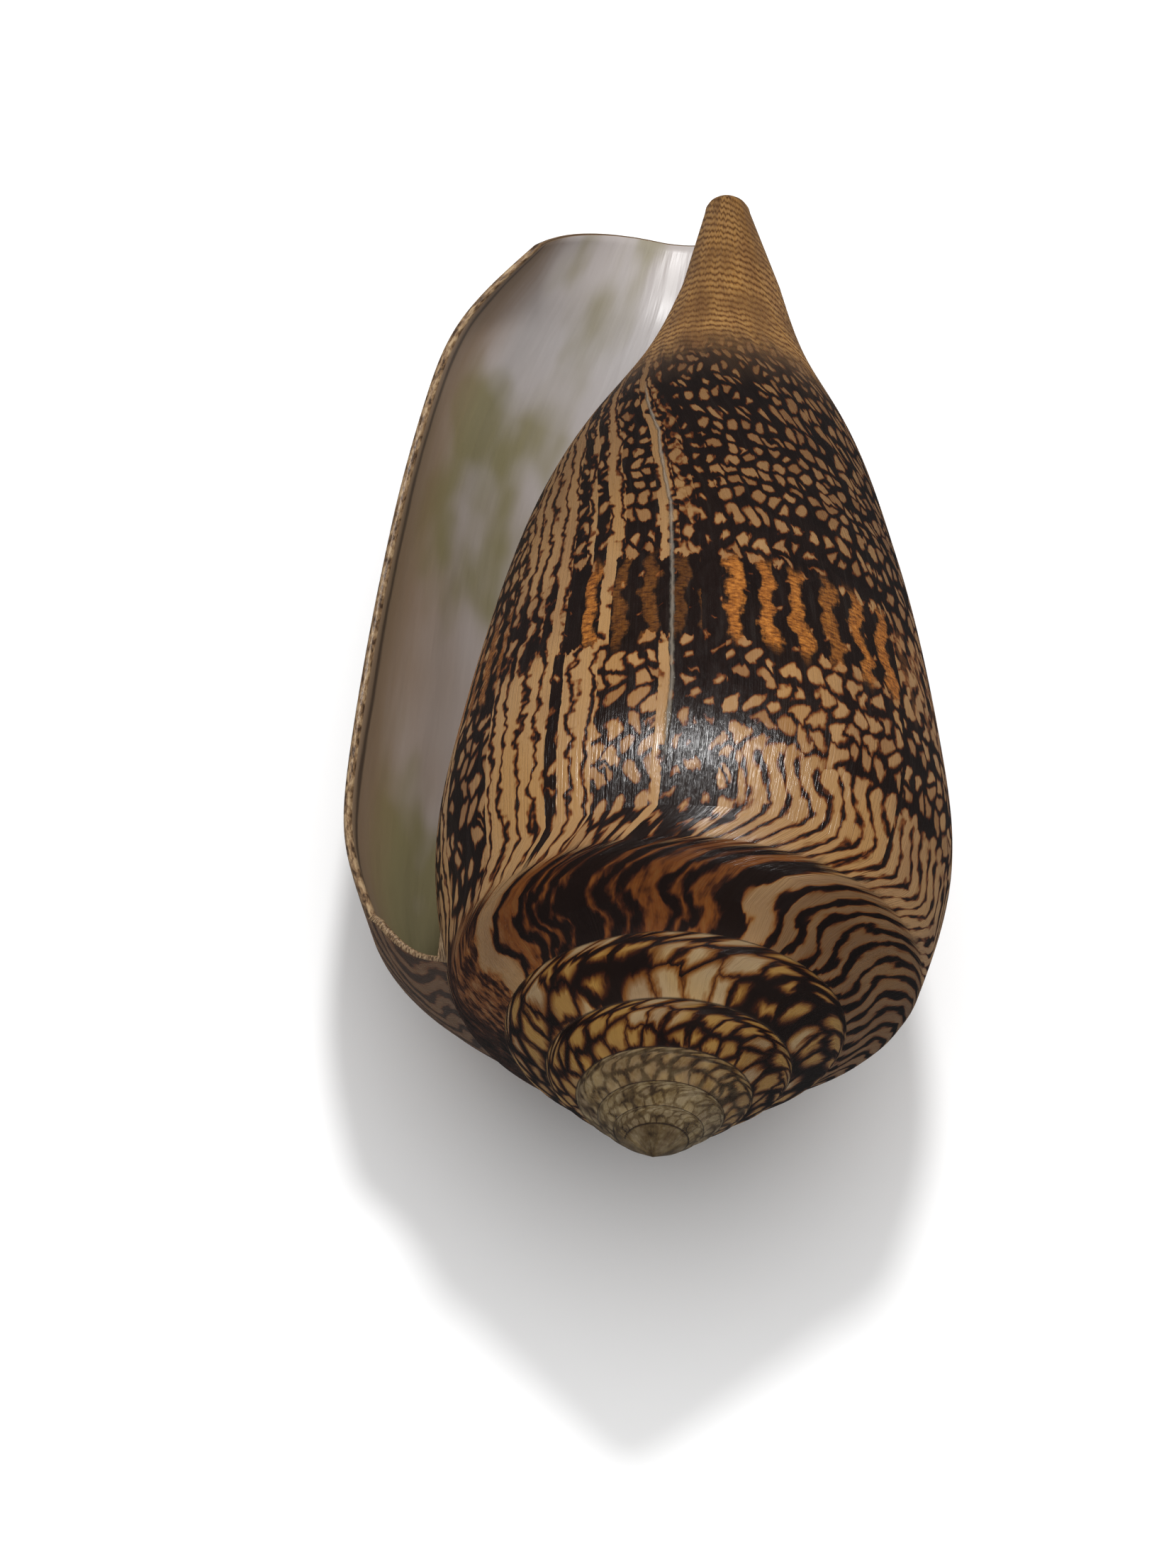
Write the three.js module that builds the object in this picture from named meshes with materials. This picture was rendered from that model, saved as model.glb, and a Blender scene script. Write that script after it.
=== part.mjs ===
// Shell of a cholmondeleys cone: one closed piece, lying on its back with its mouth up.
// Millimetres, +Z up. The apex end points to -Y and the front (siphon) end to +Y.
import * as THREE from 'three';

// Growth of the spiral
const TURNS = 6;
const WHORL_RATIO = 1.4;
const SUTURE_RADIUS = 9.56;
const SUTURE_DEPTH = 9.09;
const SHOULDER_ROUNDING = 2.4;
const APEX_DEPTH = 0.45;

// Lengths along the axis, from the apex
const LENGTH = 57.3;
const FRONT_START = 51.0;
const FRONT_REACH = 59.0;
const REACH_SHARE = 0.54;
const LIP_CORNER = 52.3;
const FALL_SHARE = 0.65;
const FALL_POWER = 2.1;
const TIP_RADIUS = 1.15;
const TIP_SHIFT = 1.0;
const TIP_RETURN = 0.5;
const SHIFT_FROM = 0.55;
const TIP_ROUND_FROM = 0.85;

// Side profiles at the size of the lip: share of the way down, radius of the body, radius of the lip
const PROFILE_SHARES = [0.0, 0.06, 0.14, 0.28, 0.44, 0.6, 0.74, 0.87, 1.0];
const BODY_RADII = [13.38, 14.15, 14.8, 14.28, 12.92, 11.0, 8.46, 5.3, 3.17];
const LIP_RADII = [13.38, 14.37, 15.36, 15.84, 15.25, 14.41, 13.96, 13.15, 10.1];
// Near the front all turns share one radius, that of three quarters of a turn back
const SETTLED_FROM = 0.75;
const SETTLED_TURNS = 0.75;

// The lip edge lags behind the growth front: from the suture (-1) over the shoulder (0) to the front (1)
const LAG_PLACES = [-1.0, -0.6, -0.25, 0.0, 0.2, 0.45, 0.7, 0.9, 1.0];
const LAG_DEGREES = [0.0, -9.0, -9.0, -10.5, -17.5, -13.3, -5.2, -4.4, -3.0];
const LAG_BLEND_DEGREES = 100;
const ROOT_DEGREES = -165;
const FLARE_POWER = 1.38;
const LIP_TURN_DEGREES = 4.4;

// Wall and hollow
const WALL = 1.0;
const LIP_EDGE = 0.4;
const LIP_TAPER_DEGREES = 22;
const LIP_TAPER_SHARE = 0.1;
const RAMP_LEAN_DEGREES = 46;
const SHOULDER_LEAN = 0.33;
const LEAN_ON_RAMP = 0.7;
const LEAN_ON_SIDE = 5.1;
const HOLLOW_DEGREES = 230;
const HOLLOW_SHORTER = 0.3;
const HOLLOW_SHORTER_DEGREES = 90;
const ROOT_BLEND_DEGREES = 50;
const CLOSING_DEGREES = 20;
const EDGE_BULGE = 0.45;
const CORNER_SHARE = 0.045;

// Rest: rolled and tilted on its back until it balances, with a small flat spot worn under it
const ROLL_DEGREES = 0.0;
const PITCH_DEGREES = -4.9;
const FLAT_SPOT_DEPTH = 0.65;

// Mesh density
const STEPS_PER_TURN = 72;
const RAMP_ROWS = 3;
const CORNER_ROWS = 2;
const SIDE_ROWS = 13;
const TIP_ROWS = 6;

const TAU = Math.PI * 2;
const RAD = Math.PI / 180;
const ROOT = ROOT_DEGREES * RAD;
const GROWTH = Math.log(WHORL_RATIO) / TAU;

// Natural cubic through a few points, used for the side profiles and the lag of the lip
function curve(xs, ys) {
  const n = xs.length;
  const m = new Array(n).fill(0);
  const diag = new Array(n).fill(1);
  const rhs = new Array(n).fill(0);
  for (let i = 1; i < n - 1; i++) {
    const h0 = xs[i] - xs[i - 1];
    const h1 = xs[i + 1] - xs[i];
    const low = h0 / 6;
    const up = h1 / 6;
    const right = (ys[i + 1] - ys[i]) / h1 - (ys[i] - ys[i - 1]) / h0;
    const before = i > 1 ? (xs[i] - xs[i - 1]) / 6 : 0;
    const factor = i > 1 ? low / diag[i - 1] : 0;
    diag[i] = (h0 + h1) / 3 - factor * before;
    rhs[i] = right - factor * rhs[i - 1];
    m[i] = up;
  }
  const second = new Array(n).fill(0);
  for (let i = n - 2; i > 0; i--) {
    second[i] = (rhs[i] - (i < n - 2 ? m[i] * second[i + 1] : 0)) / diag[i];
  }
  return (x) => {
    let i = 0;
    while (i < n - 2 && x > xs[i + 1]) i++;
    const h = xs[i + 1] - xs[i];
    const a = (xs[i + 1] - x) / h;
    const b = (x - xs[i]) / h;
    const bend = (a * a * a - a) * second[i] + (b * b * b - b) * second[i + 1];
    return a * ys[i] + b * ys[i + 1] + (bend * h * h) / 6;
  };
}

const bodyRadius = curve(PROFILE_SHARES, BODY_RADII);
const lipRadius = curve(PROFILE_SHARES, LIP_RADII);
const lagDegrees = curve(LAG_PLACES, LAG_DEGREES);

const clamp = (x, a, b) => Math.min(Math.max(x, a), b);
const smooth = (x) => {
  const c = clamp(x, 0, 1);
  return c * c * (3 - 2 * c);
};
const growth = (angle) => Math.exp(GROWTH * angle);
const lipShare = (angle) => clamp((angle - ROOT) / -ROOT, 0, 1);

function frontDepth(angle) {
  const t = lipShare(angle);
  const reach = (FRONT_REACH - FRONT_START) * smooth(t / REACH_SHARE);
  const late = clamp((t - FALL_SHARE) / (1 - FALL_SHARE), 0, 1);
  return FRONT_START + reach - (FRONT_REACH - LIP_CORNER) * late ** FALL_POWER;
}

// A place in the shell's own frame: the axis is z with the apex at 0, the lip is at -x
function place(angle, radius, depth, shift) {
  const a = angle + LIP_TURN_DEGREES * RAD;
  return new THREE.Vector3(-radius * Math.cos(a) + shift, radius * Math.sin(a), -depth);
}

// The spire side of a whorl, from its upper suture (0) to its rounded shoulder (1)
function rampProfile(angle, q) {
  const size = growth(angle) * (1 + (WHORL_RATIO - 1) * q);
  const slope = Math.hypot(SUTURE_RADIUS, SUTURE_DEPTH);
  const bulge = (SHOULDER_ROUNDING * growth(angle) * q ** 3 * (1 - q)) / slope;
  const radius = SUTURE_RADIUS * size + bulge * SUTURE_DEPTH;
  return { radius, depth: SUTURE_DEPTH * size - bulge * SUTURE_RADIUS, shift: 0 };
}

// The long side of a whorl, from its shoulder (0) to the front (1)
function sideRadius(angle, s) {
  const settled = smooth((s - SETTLED_FROM) / (1 - SETTLED_FROM));
  const size = growth(angle) * (1 - settled) + growth(-SETTLED_TURNS * TAU) * settled;
  const flare = lipShare(angle) ** FLARE_POWER;
  return size * bodyRadius(s) * (1 - flare) + flare * lipRadius(s);
}
function sideDepth(angle, s) {
  const shoulder = WHORL_RATIO * SUTURE_DEPTH * growth(angle);
  return shoulder + s * (frontDepth(angle) - shoulder);
}
const sideShift = (s) => TIP_SHIFT * smooth((s - SHIFT_FROM) / (1 - SHIFT_FROM));

function tipPoint(angle, k) {
  const start = sideRadius(ROOT, 1);
  const taper = start + (TIP_RADIUS - start) * Math.min(k / TIP_ROUND_FROM, 1);
  const round = clamp((k - TIP_ROUND_FROM) / (1 - TIP_ROUND_FROM), 0, 1);
  const radius = taper * Math.sqrt(Math.max(1 - round * round, 0));
  const depth = FRONT_START + (LENGTH - FRONT_START) * k;
  return place(angle, radius, depth, TIP_SHIFT * (1 - TIP_RETURN * k));
}

// The growing edge is sheared back to the lag of the lip over the last part of the turn
const sheared = (angle, u) => angle + lagDegrees(u) * RAD * smooth(1 + angle / (LAG_BLEND_DEGREES * RAD));

// Rows of the outer side: ramp rows, then side rows, finer near the corner under the shoulder
const rows = [];
for (let j = 0; j < RAMP_ROWS; j++) rows.push(-1 + j / RAMP_ROWS);
for (let j = 0; j < CORNER_ROWS; j++) rows.push((CORNER_SHARE * j) / CORNER_ROWS);
for (let j = 0; j <= SIDE_ROWS; j++) rows.push(CORNER_SHARE + (1 - CORNER_SHARE) * (j / SIDE_ROWS));
const sideStart = RAMP_ROWS;
const cornerRow = RAMP_ROWS + CORNER_ROWS;
const lastRow = rows.length - 1;

const outerProfile = (angle, u) => (u < 0
  ? rampProfile(angle, u + 1)
  : { radius: sideRadius(angle, u), depth: sideDepth(angle, u), shift: sideShift(u) });
function outerPoint(angle, u) {
  const { radius, depth, shift } = outerProfile(angle, u);
  return place(angle, radius, depth, shift);
}

// Where the hollow ends towards the front, behind the root of the lip
const hollowEnd = (angle) => 1 - HOLLOW_SHORTER * smooth((ROOT - angle) / (HOLLOW_SHORTER_DEGREES * RAD));

const points = [];
const faces = [];
const add = (p) => points.push(p) - 1;
const tri = (a, b, c) => {
  if (a !== b && b !== c && c !== a) faces.push(a, b, c);
};
const quad = (a, b, c, d) => {
  tri(a, b, c);
  tri(a, c, d);
};
// A band of faces between two rows of points with the same ends or the same length
function zip(left, right) {
  let i = 0;
  let j = 0;
  while (i < left.length - 1 || j < right.length - 1) {
    const nextLeft = (i + 1) / (left.length - 1);
    const nextRight = (j + 1) / (right.length - 1);
    const stepLeft = nextRight > 1 || (nextLeft <= 1 && nextLeft <= nextRight);
    if (stepLeft) tri(left[i], left[i + 1], right[j]);
    else tri(left[i], right[j + 1], right[j]);
    if (stepLeft) i++;
    else j++;
  }
}

// Spire: a helical band whose lower row is the upper row of the next turn
const N = STEPS_PER_TURN;
const total = TURNS * N;
const step = TAU / N;
const angleOf = (i) => (i - total) * step;
const spire = [];
for (let i = 0; i <= total; i++) {
  const angle = angleOf(i);
  const column = [];
  for (let j = 0; j < RAMP_ROWS; j++) column.push(add(outerPoint(sheared(angle, rows[j]), rows[j])));
  spire.push(column);
}
for (let i = 0; i < total; i++) {
  const full = i + N <= total;
  for (let j = 0; j < RAMP_ROWS - 1; j++) {
    quad(spire[i][j], spire[i + 1][j], spire[i + 1][j + 1], spire[i][j + 1]);
  }
  if (full && i + 1 + N <= total) {
    quad(spire[i][RAMP_ROWS - 1], spire[i + 1][RAMP_ROWS - 1], spire[i + 1 + N][0], spire[i + N][0]);
  }
}
const apex = add(new THREE.Vector3(0, 0, -APEX_DEPTH));
for (let i = 0; i < N; i++) tri(apex, spire[i + 1][0], spire[i][0]);
tri(apex, spire[0][RAMP_ROWS - 1], spire[N][0]);
for (let j = 0; j < RAMP_ROWS - 1; j++) tri(apex, spire[0][j], spire[0][j + 1]);

// Outer side of the last turn
const outer = [];
for (let i = total - N; i <= total; i++) {
  const angle = angleOf(i);
  const column = [];
  for (let j = 0; j <= lastRow; j++) {
    if (j < RAMP_ROWS) column.push(spire[i][j]);
    else if (i === total - N && j === sideStart) column.push(spire[total][0]);
    else column.push(add(outerPoint(sheared(angle, rows[j]), rows[j])));
  }
  outer.push(column);
}
for (let i = 0; i < N; i++) {
  for (let j = RAMP_ROWS - 1; j < lastRow; j++) {
    quad(outer[i][j], outer[i + 1][j], outer[i + 1][j + 1], outer[i][j + 1]);
  }
}

// Old side inside the mouth: the turn before, from its corner row down
const hollowSteps = Math.round(HOLLOW_DEGREES / (360 / N));
const rootStep = Math.round(-ROOT_DEGREES / (360 / N));
const core = [];
for (let i = 0; i <= hollowSteps; i++) {
  const angle = -i * step;
  const end = hollowEnd(angle);
  const column = [];
  for (let j = cornerRow; j <= lastRow; j++) {
    const s = CORNER_SHARE + (end - CORNER_SHARE) * ((j - cornerRow) / (lastRow - cornerRow));
    if (i === 0) column.push(outer[0][j]);
    else if (i === rootStep && j === lastRow) column.push(outer[N - rootStep][lastRow]);
    else column.push(add(outerPoint(angle - TAU, s)));
  }
  core.push(column);
}
for (let i = 0; i < hollowSteps; i++) {
  for (let j = 0; j < lastRow - cornerRow; j++) {
    quad(core[i + 1][j], core[i][j], core[i][j + 1], core[i + 1][j + 1]);
  }
}

// Inner side of the lip, a wall's thickness inside the outer side
const inner = [];
for (let i = 0; i <= hollowSteps; i++) {
  const base = -i * step;
  const end = hollowEnd(base);
  const column = [];
  for (let j = 0; j <= lastRow; j++) {
    const stretch = (end - CORNER_SHARE) / (1 - CORNER_SHARE);
    const u = rows[j] <= CORNER_SHARE ? rows[j] : CORNER_SHARE + (rows[j] - CORNER_SHARE) * stretch;
    const angle = sheared(base, u);
    if (j === 0) column.push(core[i][0]);
    else if (j === lastRow && i >= rootStep) column.push(core[i][lastRow - cornerRow]);
    else column.push(add(innerPoint(base, angle, u, end)));
  }
  inner.push(column);
}
// The outer side moved in by the wall, in a direction that turns over the shoulder.
// At the root of the lip the wall thins to nothing, and behind the root it fills up the gap.
function innerPoint(base, angle, u, end) {
  const over = SHOULDER_LEAN + u * (u < 0 ? LEAN_ON_RAMP : LEAN_ON_SIDE);
  const lean = RAMP_LEAN_DEGREES * RAD * (1 - smooth(over));
  const edge = Math.min(-base / (LIP_TAPER_DEGREES * RAD), (1 - u) / LIP_TAPER_SHARE);
  const wall = WALL * (LIP_EDGE + (1 - LIP_EDGE) * smooth(edge));
  const { radius, depth, shift } = outerProfile(angle, u);
  if (u < 0) {
    const clear = smooth((u + 1) * 1.1);
    return place(angle, radius - wall * Math.cos(lean) * clear, depth + wall * Math.sin(lean), 0);
  }
  const front = smooth((u - SETTLED_FROM) / (1 - SETTLED_FROM));
  const near = smooth((base - ROOT) / (ROOT_BLEND_DEGREES * RAD));
  const gap = Math.max(radius - sideRadius(angle - TAU, u), 0.001);
  const behind = smooth((ROOT - base) / (CLOSING_DEGREES * RAD));
  const closing = behind * smooth((u / end - SETTLED_FROM) / (1 - SETTLED_FROM));
  const thick = Math.min(Math.max(wall * (1 - front * (1 - near) * 0.98), gap * closing), gap * 0.97);
  return place(angle, radius - thick * Math.cos(lean), depth + thick * Math.sin(lean), shift);
}
for (let i = 0; i < hollowSteps; i++) {
  for (let j = 0; j < lastRow; j++) {
    quad(inner[i][j], inner[i + 1][j], inner[i + 1][j + 1], inner[i][j + 1]);
  }
}

// Rounded edge of the lip, from the suture over the corner and along the front to the root
function edgeColumn(outside, inside, along, first) {
  if (first) return first;
  const a = points[outside];
  const b = points[inside];
  const column = [outside];
  for (let k = 1; k < CORNER_ROWS; k++) {
    const t = k / CORNER_ROWS;
    const p = a.clone().lerp(b, t);
    p.addScaledVector(along, EDGE_BULGE * a.distanceTo(b) * Math.sin(Math.PI * t));
    column.push(add(p));
  }
  column.push(inside);
  return column;
}
const direction = (from, to) => points[to].clone().sub(points[from]).normalize();
const edge = [];
for (let j = 0; j <= lastRow; j++) {
  const along = direction(outer[N - 1][j], outer[N][j]);
  if (j === lastRow) along.add(direction(outer[N][lastRow - 1], outer[N][lastRow])).normalize();
  const first = j === 0 ? outer[0].slice(sideStart, cornerRow + 1) : null;
  edge.push(edgeColumn(outer[N][j], inner[0][j], along, first));
}
for (let i = 1; i <= rootStep; i++) {
  const along = direction(outer[N - i][lastRow - 1], outer[N - i][lastRow]);
  const root = i === rootStep ? new Array(CORNER_ROWS + 1).fill(outer[N - i][lastRow]) : null;
  edge.push(edgeColumn(outer[N - i][lastRow], inner[i][lastRow], along, root));
}
for (let j = 0; j < edge.length - 1; j++) {
  for (let k = 0; k < CORNER_ROWS; k++) {
    quad(edge[j][k], edge[j][k + 1], edge[j + 1][k + 1], edge[j + 1][k]);
  }
}

// End of the hollow, deep inside
const innerEnd = inner[hollowSteps];
const coreEnd = core[hollowSteps];
zip([innerEnd[0], ...coreEnd.slice(1)], innerEnd);

// Siphon tip: rings under the old and the outer side, closed by one point
const ring = [];
for (let i = 0; i < N; i++) {
  const open = i >= N - rootStep;
  ring.push(open ? core[N - i][lastRow - cornerRow] : outer[i][lastRow]);
}
let above = ring;
for (let k = 1; k < TIP_ROWS; k++) {
  const share = 1 - (1 - k / TIP_ROWS) ** 1.35;
  const next = [];
  for (let i = 0; i < N; i++) next.push(add(tipPoint(i * step, share)));
  for (let i = 0; i < N; i++) quad(above[i], above[(i + 1) % N], next[(i + 1) % N], next[i]);
  above = next;
}
const tipEnd = add(new THREE.Vector3(TIP_SHIFT * (1 - TIP_RETURN), 0, -LENGTH));
for (let i = 0; i < N; i++) tri(above[i], above[(i + 1) % N], tipEnd);

// Laid on its back: the mouth side turns up, then the shell tilts until it balances
const roll = ROLL_DEGREES * RAD;
const pitch = PITCH_DEGREES * RAD;
for (const p of points) {
  const x = p.x * Math.cos(roll) - p.y * Math.sin(roll);
  const up = p.x * Math.sin(roll) + p.y * Math.cos(roll);
  const along = -p.z;
  p.set(x, along * Math.cos(pitch) - up * Math.sin(pitch), along * Math.sin(pitch) + up * Math.cos(pitch));
}

// The origin is under the middle, on the ground. What reaches below the ground is worn flat.
const box = new THREE.Box3().setFromPoints(points);
const middle = box.getCenter(new THREE.Vector3());
for (const p of points) {
  p.set(p.x - middle.x, p.y - middle.y, Math.max(p.z - box.min.z - FLAT_SPOT_DEPTH, 0));
}

const geometry = new THREE.BufferGeometry().setFromPoints(points);
geometry.setIndex(faces);
geometry.computeVertexNormals();
const material = new THREE.MeshStandardMaterial({ color: 0x8a6238, roughness: 0.35, metalness: 0.0 });
const shell = new THREE.Mesh(geometry, material);
shell.name = 'shell';

const part = new THREE.Group();
part.add(shell);

export default part;
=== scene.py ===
"""Looks of the cholmondeleys cone shell: its fine surface and markings, the floor, the light and the camera.
Metres in the scene, millimetres in the shell's own measures."""
import math

import bpy
import numpy as np
from mathutils import Matrix, Vector


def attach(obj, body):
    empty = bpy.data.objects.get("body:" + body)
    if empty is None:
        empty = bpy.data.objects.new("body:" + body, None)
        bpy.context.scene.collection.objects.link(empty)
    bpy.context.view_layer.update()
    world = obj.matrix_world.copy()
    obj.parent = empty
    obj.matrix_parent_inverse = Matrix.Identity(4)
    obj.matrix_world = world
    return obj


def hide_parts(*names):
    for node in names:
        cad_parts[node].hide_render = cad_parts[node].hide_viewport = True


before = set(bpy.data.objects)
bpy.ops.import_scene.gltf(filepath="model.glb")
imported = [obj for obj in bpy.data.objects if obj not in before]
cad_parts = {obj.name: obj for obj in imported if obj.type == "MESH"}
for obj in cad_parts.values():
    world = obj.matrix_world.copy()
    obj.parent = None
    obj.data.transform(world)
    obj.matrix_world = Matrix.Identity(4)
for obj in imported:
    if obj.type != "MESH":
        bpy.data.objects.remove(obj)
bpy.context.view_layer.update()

MM = 0.001
TAU = 2 * math.pi
RAD = math.pi / 180

# Growth of the spiral
TURNS = 6
WHORL_RATIO = 1.4
SUTURE_RADIUS = 9.56
SUTURE_DEPTH = 9.09
SHOULDER_ROUNDING = 2.4
APEX_DEPTH = 0.45

# Lengths along the axis, from the apex
LENGTH = 57.3
FRONT_START = 51.0
FRONT_REACH = 59.0
LIP_CORNER = 52.3
TIP_RADIUS = 1.15
TIP_ROUND_FROM = 0.85
TIP_SHIFT = 1.0
TIP_RETURN = 0.5
SHIFT_FROM = 0.55

# Side profiles at the size of the lip
PROFILE_SHARES = [0.0, 0.06, 0.14, 0.28, 0.44, 0.6, 0.74, 0.87, 1.0]
BODY_RADII = [13.38, 14.15, 14.8, 14.28, 12.92, 11.0, 8.46, 5.3, 3.17]
LIP_RADII = [13.38, 14.37, 15.36, 15.84, 15.25, 14.41, 13.96, 13.15, 10.1]
SETTLED_FROM = 0.75
SETTLED_TURNS = 0.75

# Lag of the lip edge behind the growth front
LAG_PLACES = [-1.0, -0.6, -0.25, 0.0, 0.2, 0.45, 0.7, 0.9, 1.0]
LAG_DEGREES = [0.0, -9.0, -9.0, -10.5, -17.5, -13.3, -5.2, -4.4, -3.0]
LAG_BLEND = 100 * RAD
ROOT = -165 * RAD
FLARE_POWER = 1.38
LIP_TURN = 4.4 * RAD
REACH_SHARE = 0.54
FALL_SHARE = 0.65
FALL_POWER = 2.1

# Lag of the growth lines and markings, deepest on the shoulder
LINE_PLACES = [-1.0, -0.6, -0.25, -0.06, 0.0, 0.03, 0.18, 0.35, 0.46, 0.6, 0.75, 1.0]
LINE_DEGREES = [-30.0, -31.0, -27.0, -18.0, -9.0, -1.0, 0.0, -2.0, -4.0, -11.0, -28.0, -60.0]

# Lengths of the ramp, the side and the tip down the profile
RAMP_LENGTH = 5.3
SIDE_LENGTH = 38.5
TIP_LENGTH = 6.3

# Wall and hollow
WALL = 1.0
LIP_EDGE = 0.4
LIP_TAPER = 22 * RAD
LIP_TAPER_SHARE = 0.1
RAMP_LEAN = 46 * RAD
SHOULDER_LEAN = 0.33
LEAN_ON_RAMP = 0.7
LEAN_ON_SIDE = 5.1
HOLLOW = 230 * RAD
HOLLOW_SHORTER = 0.3
HOLLOW_SHORTER_OVER = 90 * RAD
ROOT_BLEND = 50 * RAD
CLOSING = 20 * RAD
EDGE_BULGE = 0.45
CORNER_SHARE = 0.045

# Rest
PITCH = -4.9 * RAD
FLAT_SPOT_DEPTH = 0.65

# Mesh density
STEPS = 240
RAMP_ROWS = 8
CORNER_ROWS = 4
SIDE_ROWS = 100
TIP_ROWS = 20
TIP_CROWDING = 1.35

# The view: tilt of the axis, its lean in the picture, distance from the apex, where the apex falls
VIEW_TILT = 37.21 * RAD
VIEW_LEAN = 4.73 * RAD
VIEW_DISTANCE = 190.0
VIEW_FOCAL = 6310.0
IMAGE_SIZE = (1659, 2212)
APEX_PIXEL = (920.0, 1645.0)

# Light: the key lamp mirrored by a glossy patch, a sky that dims to the horizon, a wide soft lamp
GLINT_POINT = (0.3, 11.3, -14.0)
GLINT_NORMAL = (-0.022, 0.988, 0.153)
KEY_DISTANCE = 350.0
KEY_SIZE = 0.05
KEY_POWER = 0.65
SKY_LOW = 0.35
SKY_HIGH = 0.9
SKY_DIM = 0.08
SKY_BRIGHT = 0.22
SOFT_PLACE = (0.0, 0.0, 0.42)
SOFT_SIZE = 1.0
SOFT_POWER = 3.3

# Floor, gloss and lens
FLOOR_SIZE = 4.0
FLOOR_COLOR = (0.93, 0.93, 0.93, 1)
FLOOR_ROUGHNESS = 0.7
GLOSS = 0.48
SENSOR_WIDTH = 36.0


def curve(xs, ys):
    """Natural cubic through a few points."""
    xs, ys = np.array(xs, float), np.array(ys, float)
    n = len(xs)
    h = np.diff(xs)
    rows, right = np.eye(n), np.zeros(n)
    for i in range(1, n - 1):
        rows[i, i - 1:i + 2] = h[i - 1] / 6, (h[i - 1] + h[i]) / 3, h[i] / 6
        right[i] = (ys[i + 1] - ys[i]) / h[i] - (ys[i] - ys[i - 1]) / h[i - 1]
    bend = np.linalg.solve(rows, right)

    def value(x):
        x = np.asarray(x, float)
        i = np.clip(np.searchsorted(xs, x) - 1, 0, n - 2)
        a = (xs[i + 1] - x) / h[i]
        b = (x - xs[i]) / h[i]
        curved = (a ** 3 - a) * bend[i] + (b ** 3 - b) * bend[i + 1]
        return a * ys[i] + b * ys[i + 1] + curved * h[i] ** 2 / 6
    return value


body_radius = curve(PROFILE_SHARES, BODY_RADII)
lip_radius = curve(PROFILE_SHARES, LIP_RADII)
lip_lag = curve(LAG_PLACES, LAG_DEGREES)


def line_lag(u):
    """Degrees by which a growth line lags at u: -1 suture, 0 shoulder, 1 front notch."""
    return np.interp(u, LINE_PLACES, LINE_DEGREES)


def smooth(x):
    x = np.clip(x, 0, 1)
    return x * x * (3 - 2 * x)


def growth(angle):
    return np.exp(math.log(WHORL_RATIO) / TAU * angle)


def lip_share(angle):
    return np.clip((angle - ROOT) / -ROOT, 0, 1)


def front_depth(angle):
    t = lip_share(angle)
    reach = (FRONT_REACH - FRONT_START) * smooth(t / REACH_SHARE)
    fall = (FRONT_REACH - LIP_CORNER) * np.clip((t - FALL_SHARE) / (1 - FALL_SHARE), 0, 1) ** FALL_POWER
    return FRONT_START + reach - fall


def place(angle, radius, depth, shift=0.0):
    """A point in the shell's own frame: the axis is z with the apex at 0, the lip is at -x."""
    a = angle + LIP_TURN
    return np.stack(np.broadcast_arrays(-radius * np.cos(a) + shift, radius * np.sin(a), -depth), -1)


def ramp_radius_depth(angle, q):
    size = growth(angle) * (1 + (WHORL_RATIO - 1) * q)
    slope = math.hypot(SUTURE_RADIUS, SUTURE_DEPTH)
    bulge = SHOULDER_ROUNDING * growth(angle) * q ** 3 * (1 - q) / slope
    return SUTURE_RADIUS * size + bulge * SUTURE_DEPTH, SUTURE_DEPTH * size - bulge * SUTURE_RADIUS


def side_radius(angle, s):
    settled = smooth((s - SETTLED_FROM) / (1 - SETTLED_FROM))
    size = growth(angle) * (1 - settled) + growth(-SETTLED_TURNS * TAU) * settled
    flare = lip_share(angle) ** FLARE_POWER
    return size * body_radius(s) * (1 - flare) + flare * lip_radius(s)


def side_depth(angle, s):
    shoulder = WHORL_RATIO * SUTURE_DEPTH * growth(angle)
    return shoulder + s * (front_depth(angle) - shoulder)


def side_shift(s):
    return TIP_SHIFT * smooth((s - SHIFT_FROM) / (1 - SHIFT_FROM))


def outer_profile(angle, u):
    """Radius, depth and sideways shift on the ramp (u below 0) or the side (u above 0)."""
    ramp_r, ramp_h = ramp_radius_depth(angle, np.clip(u + 1, 0, 1))
    s = np.clip(u, 0, 1)
    r = np.where(u < 0, ramp_r, side_radius(angle, s))
    h = np.where(u < 0, ramp_h, side_depth(angle, s))
    return r, h, np.where(u < 0, 0.0, side_shift(s))


def outer_point(angle, u):
    return place(angle, *outer_profile(angle, u))


def tip_point(angle, k):
    """A point of the siphon tip: k runs from 0 at its root to 1 at its end."""
    start = float(side_radius(np.array(ROOT), np.array(1.0)))
    taper = start + (TIP_RADIUS - start) * np.minimum(k / TIP_ROUND_FROM, 1)
    rounding = np.clip((k - TIP_ROUND_FROM) / (1 - TIP_ROUND_FROM), 0, 1)
    radius = taper * np.sqrt(np.maximum(1 - rounding ** 2, 0))
    depth = FRONT_START + (LENGTH - FRONT_START) * k
    return place(angle, radius, depth, TIP_SHIFT * (1 - TIP_RETURN * k))


def sheared(angle, u):
    """The angle with the lag of the lip edge, which fades in over the last part of the turn."""
    return angle + lip_lag(u) * RAD * smooth((angle + LAG_BLEND) / LAG_BLEND)


def hollow_end(angle):
    """How far down the side the hollow reaches."""
    return 1 - HOLLOW_SHORTER * smooth((ROOT - angle) / HOLLOW_SHORTER_OVER)


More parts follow.
